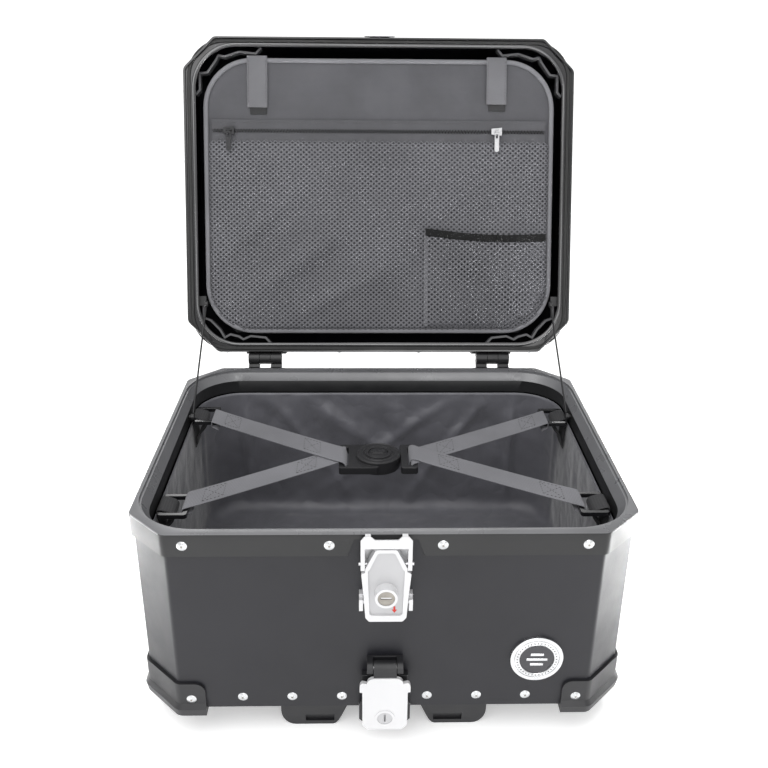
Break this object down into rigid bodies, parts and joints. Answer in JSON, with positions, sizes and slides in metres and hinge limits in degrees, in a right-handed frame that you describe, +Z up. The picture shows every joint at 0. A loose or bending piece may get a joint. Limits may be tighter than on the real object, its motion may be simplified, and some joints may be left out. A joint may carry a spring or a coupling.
{
  "type": "motorcycle top case",
  "caption": "Hard luggage case with a hinged lid, front latch, key locks, inner lining and cargo straps, on a quick-release rack plate.",
  "frame": {"origin": "centre of the rack plate's flat underside", "axes": "+Z up, -Y towards the front with the latch, +X to the right as seen from the front"},
  "size_m": [0.4426, 0.5659, 0.5701],
  "materials": {
    "powder_coat": "fine textured black powder coat on folded aluminium sheet",
    "black_steel": "satin black paint on steel",
    "black_plastic": "moulded black plastic with a fine grain",
    "grey_plastic": "moulded dark grey plastic",
    "silver_cast": "die casting painted bright silver",
    "bare_steel": "bright steel",
    "badge_metal": "polished ring round a dark disc",
    "rubber": "soft black rubber",
    "lining": "coated black nylon with a slight sheen",
    "webbing": "woven grey polyester webbing",
    "organiser_cloth": "charcoal woven polyester",
    "netting": "charcoal knitted netting",
    "zip_metal": "plated zip fittings"
  },
  "bodies": {
    "case": {"case_shell": "powder_coat", "floor_pan": "powder_coat", "rim_frame": "black_plastic", "rim_rivets": "bare_steel", "floor_rivets": "bare_steel", "corner_guard_front_left": "black_plastic", "corner_guard_front_right": "black_plastic", "corner_guard_rear_left": "black_plastic", "corner_guard_rear_right": "black_plastic", "liner": "lining", "badge": "badge_metal", "hinge_leaf_case_left": "black_steel", "hinge_leaf_case_right": "black_steel", "hinge_pins": "bare_steel", "cable_brackets_case": "bare_steel", "strap_front_left": "webbing", "strap_front_right": "webbing", "strap_rear_left": "webbing", "strap_rear_right": "webbing", "strap_rings": "black_plastic", "strap_anchors": "webbing", "buckle_body": "black_plastic", "buckle_tongue": "black_plastic", "latch_base": "silver_cast", "latch_lever_pin": "bare_steel", "base_lock_bracket": "black_steel", "base_lock_pin": "bare_steel", "base_lock_housing": "silver_cast", "mounting_plate": "black_plastic", "plate_pads": "rubber", "floor_catches": "bare_steel", "check_cable_left": "bare_steel", "check_cable_right": "bare_steel"},
    "lid": {"lid_shell": "powder_coat", "lid_frame": "black_plastic", "lid_gasket": "rubber", "lid_rivets": "bare_steel", "lid_brackets_rear": "grey_plastic", "lid_brackets_front": "grey_plastic", "hinge_leaf_lid_left": "black_steel", "hinge_leaf_lid_right": "black_steel", "lid_strike": "bare_steel", "organiser_panel": "organiser_cloth", "mesh_pocket": "netting", "side_pocket": "netting", "zip_tape": "organiser_cloth", "fastening_tabs": "webbing", "cable_brackets_lid": "bare_steel"},
    "latch_lever": {"latch_lever": "silver_cast", "latch_hook_pins": "bare_steel"},
    "latch_hook": {"latch_hook": "silver_cast"},
    "latch_cylinder": {"latch_cylinder": "bare_steel"},
    "base_lock_flap": {"base_lock_flap": "silver_cast", "base_lock_hook": "bare_steel"},
    "base_lock_cylinder": {"base_lock_cylinder": "bare_steel"},
    "buckle_button": {"buckle_button": "black_plastic"},
    "zip_slider_left": {"zip_slider_left": "zip_metal"},
    "zip_slider_right": {"zip_slider_right": "zip_metal"},
    "zip_pull_left": {"zip_pull_left": "zip_metal"},
    "zip_pull_right": {"zip_pull_right": "zip_metal"}
  },
  "joints": [
    {"name": "lid_swing", "type": "hinge", "parent": "case", "child": "lid", "pos_m": [0, 0.184, 0.221], "axis": [1, 0, 0], "range_deg": [0, 108.5], "deforming": ["check_cable_left", "check_cable_right"]},
    {"name": "latch_lever_swing", "type": "hinge", "parent": "case", "child": "latch_lever", "pos_m": [0, -0.176, 0.1503], "axis": [1, 0, 0], "range_deg": [0, 30]},
    {"name": "latch_hook_swing", "type": "hinge", "parent": "latch_lever", "child": "latch_hook", "pos_m": [0, -0.1776, 0.189], "axis": [1, 0, 0], "range_deg": [0, 12], "stiffness_Nm_per_rad": 0.05, "springref_deg": -17.19},
    {"name": "latch_key_turn", "type": "hinge", "parent": "latch_lever", "child": "latch_cylinder", "pos_m": [0, -0.19, 0.1633], "axis": [0, -1, 0], "range_deg": [0, 90]},
    {"name": "base_lock_swing", "type": "hinge", "parent": "case", "child": "base_lock_flap", "pos_m": [0, -0.178, 0.083], "axis": [-1, 0, 0], "range_deg": [0, 70]},
    {"name": "base_lock_key_turn", "type": "hinge", "parent": "base_lock_flap", "child": "base_lock_cylinder", "pos_m": [0, -0.18, 0.034], "axis": [0, -1, 0], "range_deg": [0, 90]},
    {"name": "buckle_button_press", "type": "slide", "parent": "case", "child": "buckle_button", "axis": [0, 0, -1], "range_m": [0, 0.0025], "stiffness_N_per_m": 400, "springref_m": -0.003},
    {"name": "zip_slide_left", "type": "slide", "parent": "lid", "child": "zip_slider_left", "axis": [1, 0, 0], "range_m": [0, 0.146]},
    {"name": "zip_slide_right", "type": "slide", "parent": "lid", "child": "zip_slider_right", "axis": [-1, 0, 0], "range_m": [0, 0.146]},
    {"name": "zip_pull_left_swing", "type": "hinge", "parent": "zip_slider_left", "child": "zip_pull_left", "pos_m": [-0.171, 0.26419, 0.46728], "axis": [-1, 0, 0], "range_deg": [0, 150]},
    {"name": "zip_pull_right_swing", "type": "hinge", "parent": "zip_slider_right", "child": "zip_pull_right", "pos_m": [0.134, 0.26419, 0.46728], "axis": [-1, 0, 0], "range_deg": [0, 150]}
  ]
}
